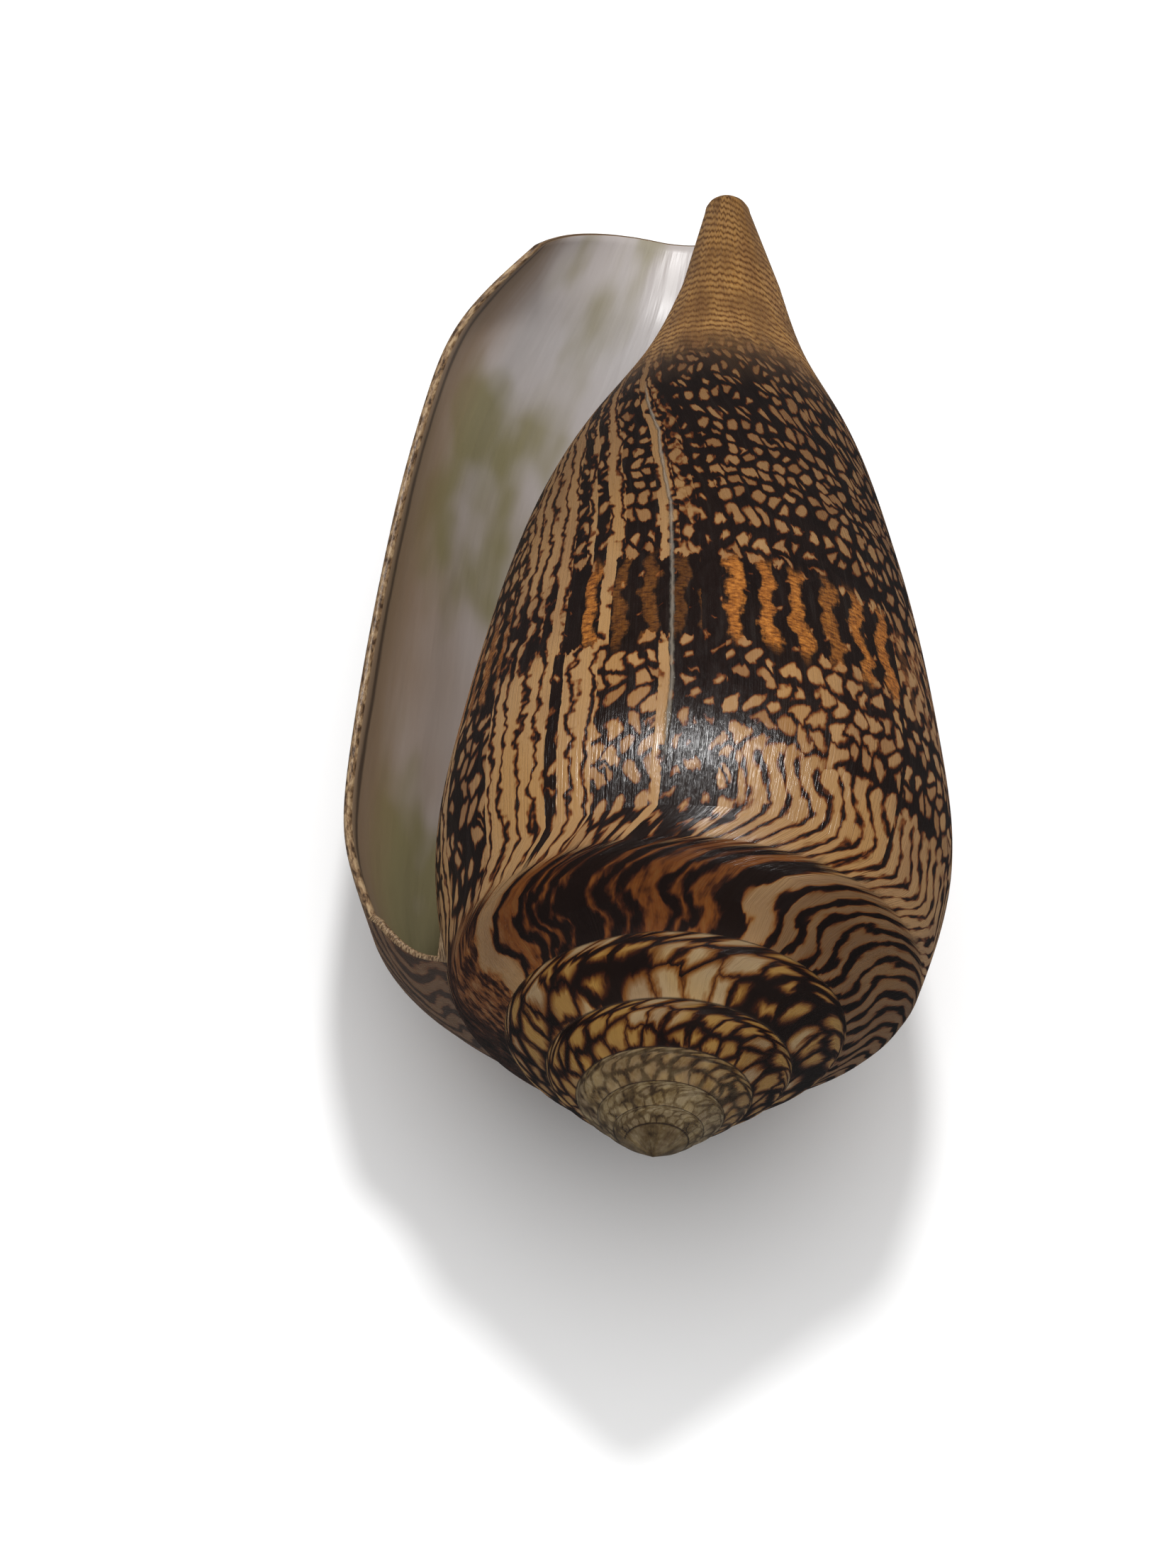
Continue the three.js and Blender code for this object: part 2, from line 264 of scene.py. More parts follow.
def inner_point(base, angle, u, end):
    """The outer side moved in by the wall, in a direction that turns over the shoulder."""
    lean = RAMP_LEAN * (1 - smooth(SHOULDER_LEAN + np.where(u < 0, LEAN_ON_RAMP, LEAN_ON_SIDE) * u))
    edge = np.minimum(-base / LIP_TAPER, (1 - u) / LIP_TAPER_SHARE)
    wall = WALL * (LIP_EDGE + (1 - LIP_EDGE) * smooth(edge))
    r, h, shift = outer_profile(angle, u)
    s = np.clip(u, 0, 1)
    front = smooth((s - SETTLED_FROM) / (1 - SETTLED_FROM))
    near = smooth((base - ROOT) / ROOT_BLEND)
    gap = np.maximum(r - side_radius(angle - TAU, s), 0.001)
    closing = smooth((s / end - SETTLED_FROM) / (1 - SETTLED_FROM)) * smooth((ROOT - base) / CLOSING)
    closing = closing * (base < ROOT)
    thick = np.minimum(np.maximum(wall * (1 - front * (1 - near) * 0.98), gap * closing), gap * 0.97)
    radial = np.where(u < 0, wall * smooth((u + 1) * 1.1), thick)
    return place(angle, r - radial * np.cos(lean), h + np.where(u < 0, wall, thick) * np.sin(lean), shift)


class Surface:
    """Collects points, faces, and for each face corner its growth angle and its place down the profile."""

    def __init__(self):
        self.points = []
        self.count = 0
        self.faces = []
        self.corners = []
        self.kinds = []

    def add(self, points):
        points = np.asarray(points, float)
        flat = points.reshape(-1, 3)
        ids = np.arange(self.count, self.count + len(flat)).reshape(points.shape[:-1])
        self.points.append(flat)
        self.count += len(flat)
        return ids

    def grid(self, ids, angle, u, kind, flip=False):
        """Faces over a grid of point numbers, with angle and u given for the same grid."""
        angle, u = np.broadcast_arrays(angle, u)
        data = np.stack([angle, u], -1)
        quads = [(slice(0, -1), slice(0, -1)), (slice(1, None), slice(0, -1)),
                 (slice(1, None), slice(1, None)), (slice(0, -1), slice(1, None))]
        if flip:
            quads = quads[::-1]
        self.faces.append(np.stack([ids[q] for q in quads], -1).reshape(-1, 4))
        self.corners.append(np.stack([data[q] for q in quads], -2).reshape(-1, 4, 2))
        self.kinds.append(np.full(len(self.faces[-1]), kind))

    def fan(self, middle, ids, angle, u, kind, middle_u):
        """Triangles from one point to a row of points; the last corner is repeated."""
        a, b = ids[:-1], ids[1:]
        centre = np.full(len(a), middle)
        self.faces.append(np.stack([a, b, centre, centre], -1))
        mid = (angle[:-1] + angle[1:]) / 2
        row = [np.stack([angle[:-1], u[:-1]], -1), np.stack([angle[1:], u[1:]], -1),
               np.stack([mid, np.full(len(a), middle_u)], -1)]
        self.corners.append(np.stack([row[0], row[1], row[2], row[2]], -2))
        self.kinds.append(np.full(len(a), kind))


# Kinds of face, in the order of the materials
OUTSIDE = 0
INSIDE = 1
EDGE = 2


def build_surface():
    """The whole closed surface of the shell."""
    s = Surface()
    step = TAU / STEPS
    total = TURNS * STEPS
    rows = np.concatenate([
        -1 + np.arange(RAMP_ROWS) / RAMP_ROWS,
        CORNER_SHARE * np.arange(CORNER_ROWS) / CORNER_ROWS,
        CORNER_SHARE + (1 - CORNER_SHARE) * np.arange(SIDE_ROWS + 1) / SIDE_ROWS])
    first, corner, last = RAMP_ROWS, RAMP_ROWS + CORNER_ROWS, len(rows) - 1

    # Spire: a helical band whose lower row is the upper row of the next turn
    angles = (np.arange(total + 1) - total) * step
    a, u = np.meshgrid(angles, rows[:first], indexing="ij")
    spire = s.add(outer_point(sheared(a, u), u))
    whole = total - STEPS
    band = np.concatenate([spire[:whole + 1], spire[STEPS:, :1]], 1)
    s.grid(band, angles[:whole + 1, None], np.append(rows[:first], 0.0)[None, :], OUTSIDE)
    apex = int(s.add([[0.0, 0.0, -APEX_DEPTH]])[0])
    top = spire[:STEPS + 1, 0][::-1]
    s.fan(apex, top, angles[:STEPS + 1][::-1], np.full(STEPS + 1, -1.0), OUTSIDE, -1.3)
    start = np.append(spire[0], spire[STEPS, 0])
    s.fan(apex, start, np.full(first + 1, angles[0]), np.append(rows[:first], 0.0), OUTSIDE, -1.3)

    # Outer side of the last turn
    angles = (np.arange(STEPS + 1) - STEPS) * step
    a, u = np.meshgrid(angles, rows, indexing="ij")
    outer = np.full(a.shape, -1)
    outer[:, :first] = spire[whole:]
    outer[0, first] = spire[total, 0]
    new = outer < 0
    outer[new] = s.add(outer_point(sheared(a, u), u)[new])
    s.grid(outer, a, u, OUTSIDE)

    # Old side inside the mouth
    deep = round(HOLLOW / step)
    root = round(-ROOT / step)
    back = -np.arange(deep + 1) * step
    end = hollow_end(back)
    share = np.arange(last - corner + 1) / (last - corner)
    u = CORNER_SHARE + (end[:, None] - CORNER_SHARE) * share[None, :]
    core = np.full(u.shape, -1)
    core[0] = outer[0, corner:]
    core[root, -1] = outer[STEPS - root, last]
    new = core < 0
    core[new] = s.add(outer_point(back[:, None] - TAU + 0 * u, u)[new])
    s.grid(core[::-1], back[::-1, None] - TAU, u[::-1], OUTSIDE)

    # Inner side of the lip
    stretch = (end[:, None] - CORNER_SHARE) / (1 - CORNER_SHARE)
    past = rows[None, :] - CORNER_SHARE
    u = np.where(past <= 0, rows[None, :], CORNER_SHARE + past * stretch)
    base = np.broadcast_to(back[:, None], u.shape)
    inner = np.full(u.shape, -1)
    inner[:, 0] = core[:, 0]
    inner[root:, last] = core[root:, -1]
    new = inner < 0
    inner[new] = s.add(inner_point(base, sheared(base, u), u, end[:, None])[new])
    s.grid(inner, base, u, INSIDE)

    # Rounded edge of the lip
    points = np.concatenate(s.points)

    def strip(outside, inside, along):
        """Rows of points that bulge from one edge over to the other."""
        t = np.arange(1, CORNER_ROWS)[None, :, None] / CORNER_ROWS
        p, q = points[outside][:, None], points[inside][:, None]
        width = np.linalg.norm(q - p, axis=-1, keepdims=True)
        middle = p + (q - p) * t + along[:, None] * EDGE_BULGE * width * np.sin(np.pi * t)
        return np.concatenate([outside[:, None], s.add(middle), inside[:, None]], 1)

    def unit(v):
        return v / np.maximum(np.linalg.norm(v, axis=-1, keepdims=True), 1e-9)

    side_along = unit(points[outer[STEPS]] - points[outer[STEPS - 1]])
    front = np.arange(STEPS, STEPS - root - 1, -1)
    front_along = unit(points[outer[front, last]] - points[outer[front, last - 1]])
    side_along[-1] = unit(side_along[-1] + front_along[0])
    side = strip(outer[STEPS, 1:], inner[0, 1:], side_along[1:])
    side = np.concatenate([outer[0, first:corner + 1][None], side])
    along_front = strip(outer[front[1:-1], last], inner[1:root, last], front_along[1:-1])
    closing = np.full((1, CORNER_ROWS + 1), outer[STEPS - root, last])
    edge = np.concatenate([side, along_front, closing])
    across = np.linspace(0, 1, CORNER_ROWS + 1)[None, :]
    place_u = np.concatenate([rows, np.full(root, 1.0)])[:, None]
    s.grid(edge, place_u + 0 * across, across + 0 * place_u, EDGE, flip=True)

    # End of the hollow
    a, b = inner[deep], np.concatenate([[inner[deep, 0]], core[deep, 1:]])
    pick = np.round(np.linspace(0, len(b) - 1, len(a))).astype(int)
    s.grid(np.stack([a, b[pick]]), -HOLLOW, np.tile(rows, (2, 1)), INSIDE)

    # Siphon tip
    ring = np.concatenate([outer[:STEPS - root + 1, last], core[1:root, -1][::-1], outer[:1, last]])
    ring_angle = (np.arange(STEPS + 1) - STEPS) * step
    k = 1 - (1 - np.arange(1, TIP_ROWS) / TIP_ROWS) ** TIP_CROWDING
    rings = s.add(tip_point(ring_angle[:-1, None], k[None, :]))
    rings = np.concatenate([rings, rings[:1]])
    rings = np.concatenate([ring[:, None], rings], 1)
    s.grid(rings, ring_angle[:, None], 1 + np.append(0, k)[None, :], OUTSIDE)
    tip = int(s.add([[TIP_SHIFT * (1 - TIP_RETURN), 0.0, -LENGTH]])[0])
    s.fan(tip, rings[:, -1], ring_angle, np.full(STEPS + 1, 1.98), OUTSIDE, 2.0)
    return s


def to_row_frame(points):
    """Laid on its back and tilted until it balances. Returns the turned points."""
    x, up, along = points[..., 0], points[..., 1], -points[..., 2]
    return np.stack([x, along * math.cos(PITCH) - up * math.sin(PITCH),
                     along * math.sin(PITCH) + up * math.cos(PITCH)], -1)


surface = build_surface()
own_points = np.concatenate(surface.points)
turned = to_row_frame(own_points)
low, high = turned.min(0), turned.max(0)
shift = np.array([-(low[0] + high[0]) / 2, -(low[1] + high[1]) / 2, -low[2] - FLAT_SPOT_DEPTH])
laid = turned + shift
laid[:, 2] = np.maximum(laid[:, 2], 0)

faces = np.concatenate(surface.faces)
corners = np.concatenate(surface.corners)
kinds = np.concatenate(surface.kinds)
lists, kept_corners, kept_kinds = [], [], []
for face, corner_data, kind in zip(faces.tolist(), corners, kinds):
    keep = [i for i in range(4) if face[i] != face[(i + 1) % 4]]
    if len(set(face[i] for i in keep)) < 3:
        continue
    lists.append([face[i] for i in keep])
    kept_corners.append(corner_data[keep])
    kept_kinds.append(kind)

mesh = bpy.data.meshes.new("shell_surface")
mesh.from_pydata((laid * MM).tolist(), [], lists)
mesh.polygons.foreach_set("use_smooth", np.ones(len(lists), bool))
mesh.polygons.foreach_set("material_index", np.array(kept_kinds, np.int32))
shell = bpy.data.objects.new("shell_surface", mesh)
bpy.context.scene.collection.objects.link(shell)

# What the markings follow, on every face corner: degrees of growth and millimetres down the profile,
# or on the lip edge the share across it and millimetres along it
angle, u = np.concatenate(kept_corners).T
loop_kind = np.repeat(np.array(kept_kinds), [len(f) for f in lists])
down = np.where(u < 0, u * RAMP_LENGTH, np.minimum(u, 1) * SIDE_LENGTH + np.maximum(u - 1, 0) * TIP_LENGTH)
degrees = angle / RAD - np.where(loop_kind == OUTSIDE, line_lag(np.clip(u, -1, 1)), 0)
on_edge = loop_kind == EDGE
across = np.where(on_edge, u, degrees)
down = np.where(on_edge, angle * SIDE_LENGTH, down)
grown = np.stack([across, down, np.zeros(len(u))], -1)
attribute = mesh.attributes.new("grown", "FLOAT_VECTOR", "CORNER")
attribute.data.foreach_set("vector", np.ascontiguousarray(grown, np.float32).ravel())


class Field:
    """A number that varies over the surface, with plain arithmetic."""

    def __init__(self, net, socket):
        self.net, self.socket = net, socket

    def math(self, kind, *others):
        return self.net.math(kind, self, *others)

    def __add__(self, other):
        return self.math("ADD", other)

    def __sub__(self, other):
        return self.math("SUBTRACT", other)

    def __rsub__(self, other):
        return self.net.math("SUBTRACT", other, self)

    def __mul__(self, other):
        return self.math("MULTIPLY", other)

    def __truediv__(self, other):
        return self.math("DIVIDE", other)

    def step(self, low, high):
        """0 below low, 1 above high, smooth between them; low may be the larger one."""
        node = self.net.node("ShaderNodeMapRange")
        node.interpolation_type = "SMOOTHSTEP"
        for name, value in (("Value", self), ("From Min", low), ("From Max", high)):
            self.net.feed(node.inputs[name], value)
        return Field(self.net, node.outputs["Result"])

    def window(self, low, high, soft):
        """1 between low and high, with soft edges."""
        return self.step(low - soft, low + soft) * self.step(high + soft, high - soft)

    def waves(self):
        """0 at each whole number and 1 halfway between them."""
        return self.math("PINGPONG", 0.5) * 2.0

    def at(self, places):
        """A value that runs straight between (place, value) pairs."""
        lowest, highest = places[0][0], places[-1][0]
        least = min(value for _, value in places)
        spread = max(value for _, value in places) - least
        node = self.net.node("ShaderNodeValToRGB")
        self.net.feed(node.inputs["Fac"], (self - lowest) / (highest - lowest))
        stops = node.color_ramp.elements
        while len(stops) < len(places):
            stops.new(0.5)
        for stop, (place, value) in zip(stops, places):
            stop.position = (place - lowest) / (highest - lowest)
            share = (value - least) / spread
            stop.color = (share, share, share, 1)
        return Field(self.net, node.outputs["Color"]) * spread + least


class Net:
    """Builds the nodes of one material."""

    def __init__(self, name):
        self.material = bpy.data.materials.new(name)
        self.material.use_nodes = True
        self.tree = self.material.node_tree
        self.shader = self.tree.nodes["Principled BSDF"]

    def node(self, kind):
        return self.tree.nodes.new(kind)

    def feed(self, socket, value):
        if isinstance(value, Field):
            self.tree.links.new(value.socket, socket)
        elif isinstance(value, (tuple, list)) and len(value) == 3 and socket.type == "RGBA":
            socket.default_value = (*value, 1)
        else:
            socket.default_value = value

    def math(self, kind, *values):
        node = self.node("ShaderNodeMath")
        node.operation = kind
        for socket, value in zip(node.inputs, values):
            self.feed(socket, value)
        return Field(self, node.outputs[0])

    def parts(self, name):
        """The first two numbers of an attribute."""
        attribute = self.node("ShaderNodeAttribute")
        attribute.attribute_name = name
        split = self.node("ShaderNodeSeparateXYZ")
        self.tree.links.new(attribute.outputs["Vector"], split.inputs[0])
        return [Field(self, split.outputs[i]) for i in range(2)]

    def vector(self, x, y, z=0.0):
        node = self.node("ShaderNodeCombineXYZ")
        for socket, value in zip(node.inputs, (x, y, z)):
            self.feed(socket, value)
        return Field(self, node.outputs[0])

    def noise_at(self, spot, scale, detail, rough):
        node = self.node("ShaderNodeTexNoise")
        self.feed(node.inputs["Vector"], spot)
        node.inputs["Scale"].default_value = scale
        node.inputs["Detail"].default_value = detail
        node.inputs["Roughness"].default_value = rough
        return Field(self, node.outputs[0])

    def noise(self, x, y, detail, rough, seed):
        return self.noise_at(self.vector(x, y, seed), 1.0, detail, rough)

    def ripple(self, x, y, detail, rough, seed):
        """Noise to both sides of zero."""
        return self.noise(x, y, detail, rough, seed) - 0.5

    def split(self, node):
        """The three numbers of a node's colour."""
        split = self.node("ShaderNodeSeparateColor")
        self.tree.links.new(node.outputs["Color"], split.inputs[0])
        return [Field(self, split.outputs[i]) for i in range(3)]

    def voronoi(self, x, y, feature="F1", jitter=1.0):
        node = self.node("ShaderNodeTexVoronoi")
        node.voronoi_dimensions = "2D"
        node.feature = feature
        self.feed(node.inputs["Vector"], self.vector(x, y))
        node.inputs["Scale"].default_value = 1.0
        node.inputs["Randomness"].default_value = jitter
        if feature == "DISTANCE_TO_EDGE":
            return Field(self, node.outputs["Distance"])
        first, second, _ = self.split(node)
        return Field(self, node.outputs["Distance"]), first, second

    def cells(self, x, y, jitter):
        """Distance to a cell's edge and middle, and two numbers that differ from cell to cell."""
        edge = self.voronoi(x, y, "DISTANCE_TO_EDGE", jitter)
        return edge, *self.voronoi(x, y, "F1", jitter)

    def mix(self, share, first, second, way="MIX"):
        """Colours mixed by a share from 0 to 1."""
        node = self.node("ShaderNodeMix")
        node.data_type = "RGBA"
        node.blend_type = way
        self.feed(node.inputs["Factor"], share)
        self.feed(node.inputs[6], first)
        self.feed(node.inputs[7], second)
        return Field(self, node.outputs[2])

    def blend(self, share, first, second):
        """Numbers mixed by a share from 0 to 1."""
        return (second - first) * share + first

    def colors(self, value, stops):
        """A colour through (place, colour) pairs."""
        node = self.node("ShaderNodeValToRGB")
        self.feed(node.inputs["Fac"], value)
        elements = node.color_ramp.elements
        while len(elements) < len(stops):
            elements.new(0.5)
        for element, (place, color) in zip(elements, stops):
            element.position = place
            element.color = (*color, 1)
        return Field(self, node.outputs["Color"])

    def columns(self, value, table):
        """Steps along the growth: each row is a start and three shares. Gives three fields."""
        low, high = table[0][0], table[-1][0]
        node = self.node("ShaderNodeValToRGB")
        node.color_ramp.interpolation = "CONSTANT"
        self.feed(node.inputs["Fac"], (value - low) / (high - low))
        elements = node.color_ramp.elements
        while len(elements) < len(table):
            elements.new(0.5)
        for element, (start, *shares) in zip(elements, table):
            element.position = (start - low) / (high - low)
            element.color = (*shares, 1)
        return self.split(node)

    def spot(self):
        """The place in the piece, in millimetres."""
        scaled = self.node("ShaderNodeVectorMath")
        scaled.operation = "SCALE"
        scaled.inputs["Scale"].default_value = 1 / MM
        self.tree.links.new(self.node("ShaderNodeTexCoord").outputs["Object"], scaled.inputs[0])
        return Field(self, scaled.outputs["Vector"])

    def edgewise(self):
        """0 where the surface faces the eye, 1 where it turns away; only the gloss follows it."""
        facing = Field(self, self.node("ShaderNodeLayerWeight").outputs["Facing"])
        return facing * facing

    def finish(self, color, roughness, height, bump_depth):
        self.feed(self.shader.inputs["Base Color"], color)
        self.feed(self.shader.inputs["Roughness"], roughness)
        self.shader.inputs["Specular IOR Level"].default_value = GLOSS
        bump = self.node("ShaderNodeBump")
        bump.inputs["Strength"].default_value = 1.0
        bump.inputs["Distance"].default_value = bump_depth * MM
        self.feed(bump.inputs["Height"], height)
        self.tree.links.new(bump.outputs[0], self.shader.inputs["Normal"])
        return self.material


# Colours, linear
BLACK = (0.010, 0.005, 0.004)
UMBER = (0.042, 0.012, 0.005)
RUST = (0.16, 0.052, 0.012)
TAN = (0.26, 0.15, 0.06)
CREAM = (0.335, 0.21, 0.096)
CELL_SHADE = (0.60, 0.48, 0.40)
WORN_DARK = (0.026, 0.021, 0.019)
RAMP_SHADE = (0.56, 0.48, 0.42)
SUTURE_DARK = (0.025, 0.016, 0.012)
SIPHON_BROWN = (0.15, 0.075, 0.025)
PAINTED_SHADE_TINT = (0.50, 0.45, 0.40)
# Painted shade: a grey-brown tint multiplied over the lower side
SIPHON_BASE_BROWN = (0.09, 0.055, 0.032)
LIP_SIDE_BROWN = (0.13, 0.08, 0.055)
SCAR_GREY = (0.20, 0.17, 0.135)
LINE_SHADE = (0.6, 0.55, 0.52)
INSIDE_WHITE = (0.42, 0.395, 0.39)
OLIVE = (0.185, 0.16, 0.062)
RIM_BROWN = (0.22, 0.145, 0.085)
RIM_LINE = (0.035, 0.022, 0.015)
DEEP_GREY = (0.30, 0.28, 0.28)

# Colours by level
BODY_COLORS = [(0.0, BLACK), (0.18, UMBER), (0.46, RUST), (0.70, TAN), (1.0, CREAM)]
THREAD_COLORS = [(0.32, (0.09, 0.03, 0.008)), (0.48, (0.27, 0.10, 0.018)), (0.66, (0.46, 0.19, 0.036))]
AMBER_FLAME_COLORS = [(0.24, BLACK), (0.40, (0.045, 0.014, 0.006)), (0.6, (0.17, 0.058, 0.012)),
                      (0.95, (0.21, 0.105, 0.032))]
CREAM_FLAME_COLORS = [(0.22, BLACK), (0.36, UMBER), (0.46, (0.21, 0.08, 0.018)), (0.58, TAN),
                      (0.8, (0.28, 0.18, 0.09))]
SPIRE_PALE_COLORS = [(0.0, BLACK), (0.2, UMBER), (0.40, (0.19, 0.075, 0.015)), (0.6, TAN),
                     (0.9, (0.36, 0.27, 0.15))]
SPIRE_WARM_COLORS = [(0.0, BLACK), (0.25, UMBER), (0.5, (0.19, 0.085, 0.018)), (0.8, (0.33, 0.20, 0.055))]
ERODED_COLORS = [(0.3, (0.05, 0.034, 0.02)), (0.48, (0.15, 0.11, 0.055)), (0.68, (0.30, 0.25, 0.15))]
SIPHON_COLORS = [(0.05, (0.10, 0.042, 0.012)), (0.4, (0.27, 0.14, 0.04)), (0.9, (0.38, 0.23, 0.08))]
CLOUD_COLORS = [(0.35, (0.78, 0.67, 0.63)), (0.5, (0.96, 0.87, 0.80)), (0.65, (0.96, 0.83, 0.66))]
INSIDE_COLORS = [(0.38, (0.30, 0.225, 0.175)), (0.6, (0.39, 0.33, 0.30))]
EDGE_COLORS = [(0.38, (0.05, 0.028, 0.016)), (0.5, (0.20, 0.12, 0.06)), (0.62, (0.36, 0.25, 0.14))]

# Columns of the last turn between growth pauses: start in degrees, dark share, streak share, amber share
COLUMNS_BACK = [(-345, 0.45, 0.1, 0.5), (-326, 0.20, 1.0, 0.2), (-307.2, 0.75, 0.3, 0.0),
                (-304.4, 0.22, 1.0, 0.1), (-295.6, 0.24, 0.0, 0.2), (-281.5, 0.30, 1.0, 0.0),
                (-279.6, 0.80, 0.2, 0.0), (-267, 0.26, 0.0, 0.6), (-256, 0.25, 0.2, 0.4),
                (-222.4, 0.95, 0.0, 0.2), (-221.4, 0.22, 0.0, 0.1), (-205, 0.22, 0.2, 0.2),
                (-190, 0.22, 0.2, 0.2)]
COLUMNS_BAND = [(-345, 0.55, 0.2, 0.6), (-326, 0.50, 0.6, 0.0), (-309, 0.15, 1.0, 0.0),
                (-305.4, 0.90, 0.0, 0.0), (-300.5, 0.85, 0.0, 0.9), (-296.2, 0.15, 1.0, 0.0),
                (-293.4, 0.95, 0.0, 0.30), (-280, 0.95, 0.0, 0.22), (-272, 0.95, 0.0, 0.0),
                (-268, 0.9, 0.0, 1.0), (-252, 0.9, 0.0, 0.9), (-243.5, 0.85, 0.0, 0.6),
                (-237, 0.8, 0.0, 0.9), (-220, 0.25, 0.5, 0.2), (-190, 0.25, 0.5, 0.3)]
COLUMNS_FRONT = [(-345, 0.50, 0.3, 0.1), (-326, 0.22, 0.9, 0.1), (-309, 0.2, 1.0, 0.0),
                 (-305.4, 0.65, 0.1, 0.0), (-302, 0.30, 1.0, 0.1), (-299.5, 0.6, 0.2, 0.2),
                 (-295.6, 0.15, 1.0, 0.0), (-291, 0.34, 0.0, 0.1), (-281.5, 0.25, 1.0, 0.0),
                 (-277, 0.42, 0.5, 0.0), (-272, 0.80, 0.2, 0.0), (-266, 0.26, 0.0, 0.3),
                 (-254, 0.34, 0.0, 0.1), (-236, 0.24, 0.0, 0.2), (-222.4, 0.9, 0.0, 0.0),
                 (-221.4, 0.22, 0.0, 0.1), (-205, 0.22, 0.1, 0.1), (-190, 0.22, 0.1, 0.1)]

# Darkness added down the side, by millimetres from the shoulder
DARKER_DOWN = [(-6, 0.0), (0, 0.0), (9, 0.0), (13, 0.03), (16, 0.08), (18.5, 0.0), (22, 0.02), (24.5, 0.12),
               (29, 0.14), (31.5, 0.08), (34, 0.0), (46, 0.0)]
# Painted shade down the lower side: how much of the shade tint is multiplied in, by millimetres from the
# shoulder
PAINTED_SHADE_DOWN = [(-6, 0.0), (13, 0.0), (20, 0.55), (29, 0.75), (33, 0.0), (46, 0.0)]
# Rows of cells counted down the side, and down the older turns
CELL_ROWS = [(-6, 0.0), (0, 5.0), (9.5, 13.2), (14, 17.0), (18.5, 20.4), (23, 26.0), (29, 31.0), (46, 46.0)]
SPIRE_ROWS = [(-5.3, 0.0), (-1.3, 1.35), (0, 2.4)]
# Flames on the ramp of the last turn: brightness by degrees
RAMP_FLAMES = [(-345, 0.35), (-331, 0.45), (-316, 0.35), (-312, 0.85), (-306, 0.85), (-303, 0.0),
               (-300, 0.62), (-294, 0.60), (-292, 0.0), (-289, 0.50), (-287, 0.05), (-285, 0.55),
               (-282, 0.05), (-279, 0.45), (-276, 0.02), (-270, 0.0), (-267, 0.55), (-263.5, 0.02),
               (-260, 0.50), (-257, 0.05), (-254, 0.55), (-248, 0.60), (-246, 0.05), (-243, 0.55),
               (-240, 0.05), (-237, 0.62), (-233, 0.55), (-230, 0.0), (-225, 0.0), (-221, 0.9),
               (-216.5, 0.85), (-213, 0.1)]
# Pale and dark stretches of the older turns, by degrees
SPIRE_TONES = [(-1100, 0.45), (-1034, 0.4), (-1010, 0.25), (-990, 0.7), (-970, 0.7), (-952, 0.3), (-930, 0.5),
               (-900, 0.7), (-884, 0.6), (-860, 0.4), (-700, 0.35), (-667, 0.75), (-655, 0.4), (-650, 0.5),
               (-638, 0.1), (-625, 0.5), (-610, 0.72), (-582, 0.72), (-575, 0.5), (-566, 0.0), (-538, 0.0),
               (-532, 0.6), (-525, 0.45), (-505, 0.45), (-500, 0.3), (-380, 0.4)]
# White and olive inside the lip, by millimetres from the shoulder
WHITE_DOWN = [(0, 0.0), (20, 0.1), (27, 0.55), (33, 0.9), (39, 0.55)]
STAIN_DOWN = [(0, 1.0), (6, 0.85), (9.5, 0.3), (13, 0.1), (18, 0.22), (23, 0.55), (26, 0.35), (29, 0.6),
              (32, 0.1), (40, 0.2)]

# Places along the growth and widths of the markings, in degrees
SHOWN_START = -345
SHOWN_END = -190
CELL_WIDTH = 4.5
LINE_SPACING = 4.7
BAR_SPACING = 8.1
BAR_PLACE = -264.5
LEFT_BAR_SPACING = 7.0
LEFT_BAR_PLACE = -284.0
FLAME_SPACING = 7.6
SPIRE_CELL_WIDTH = 12.5
PATCH_WIDTH = 8.0
SCAR_PLACE = -278.6
SCAR_HALF = 0.45
RIM_LINE_SPAN = (-3.2, -1.8)

# Places down the side and lengths of the markings, in millimetres
BAND_START = 9.6
BAND_END = 14.3
BAND_SOFT = 0.3
ZIGZAG_LENGTH = 2.4
CHEVRON_START = 1.8
CHEVRON_LENGTH = 5.0
FLAME_SWING = 0.55
PATCH_LENGTH = 16.0
ARCS_PER_MM = 1.85
SCAR_START = 4.0
SCAR_END = 27.0

# Where one marking passes into another, as the places of none and all of it: first degrees of growth
CHEVRON_SIDE = (-268, -258)
RIGHT_BARS = (-270.5, -269.5)
EVEN_FLAMES = (-213, -211)
CREAM_FLAMES = (-226, -223)
LEFT_CREAM_FLAMES = (-300, -306)
LEFT_CREAM_END = (-345, -335)
OLDER_TURNS = (-378, -384)
WARMER_TURNS = (-800, -850)
WORN_TURNS = (-1080, -1480)
LIP_SIDE = (-120, -40)
WHITE_PAST_LIP = (-8, -24)
OLIVE_PAST_LIP = (-3, -10)
LIP_RIM = (-19.0, -3.0)
DEEP_INSIDE = (-60, -200)
# Then millimetres down the side
BOLD_LINES = (5.5, 3.0)
BAR_TOPS = (9.0, 9.9)
BAR_FEET = (15.0, 14.2)
RAMP = (0.3, -0.4)
SPIRE = (0.1, -0.1)
SUTURE_BELOW = (-5.12, -5.26)
SUTURE_ABOVE = (-5.4, -5.32)
SUTURE_NEXT = (-0.16, 0.0)
CLEAR_OF_SUTURE = (-5.4, -5.2)
SIPHON_BASE_SPAN = (26.5, 31.0)
SIPHON = (29.0, 33.0)

# Depth of the fine relief, in millimetres
OUTSIDE_RELIEF = 0.07
INSIDE_RELIEF = 0.03
EDGE_RELIEF = 0.06


def column_shares(net, g, y):
    """Dark, streak and amber shares: three bands down the side, each with its own columns."""
    back, band, front = (net.columns(g, table) for table in (COLUMNS_BACK, COLUMNS_BAND, COLUMNS_FRONT))
    in_band = y.window(BAND_START, BAND_END, BAND_SOFT)
    in_front = y.step(BAND_END - BAND_SOFT, BAND_END + BAND_SOFT)
    dark, streaky, warm = (b + (m - b) * in_band + (f - b) * in_front for b, m, f in zip(back, band, front))
    return dark + in_band * dark * dark * 0.5, streaky, warm


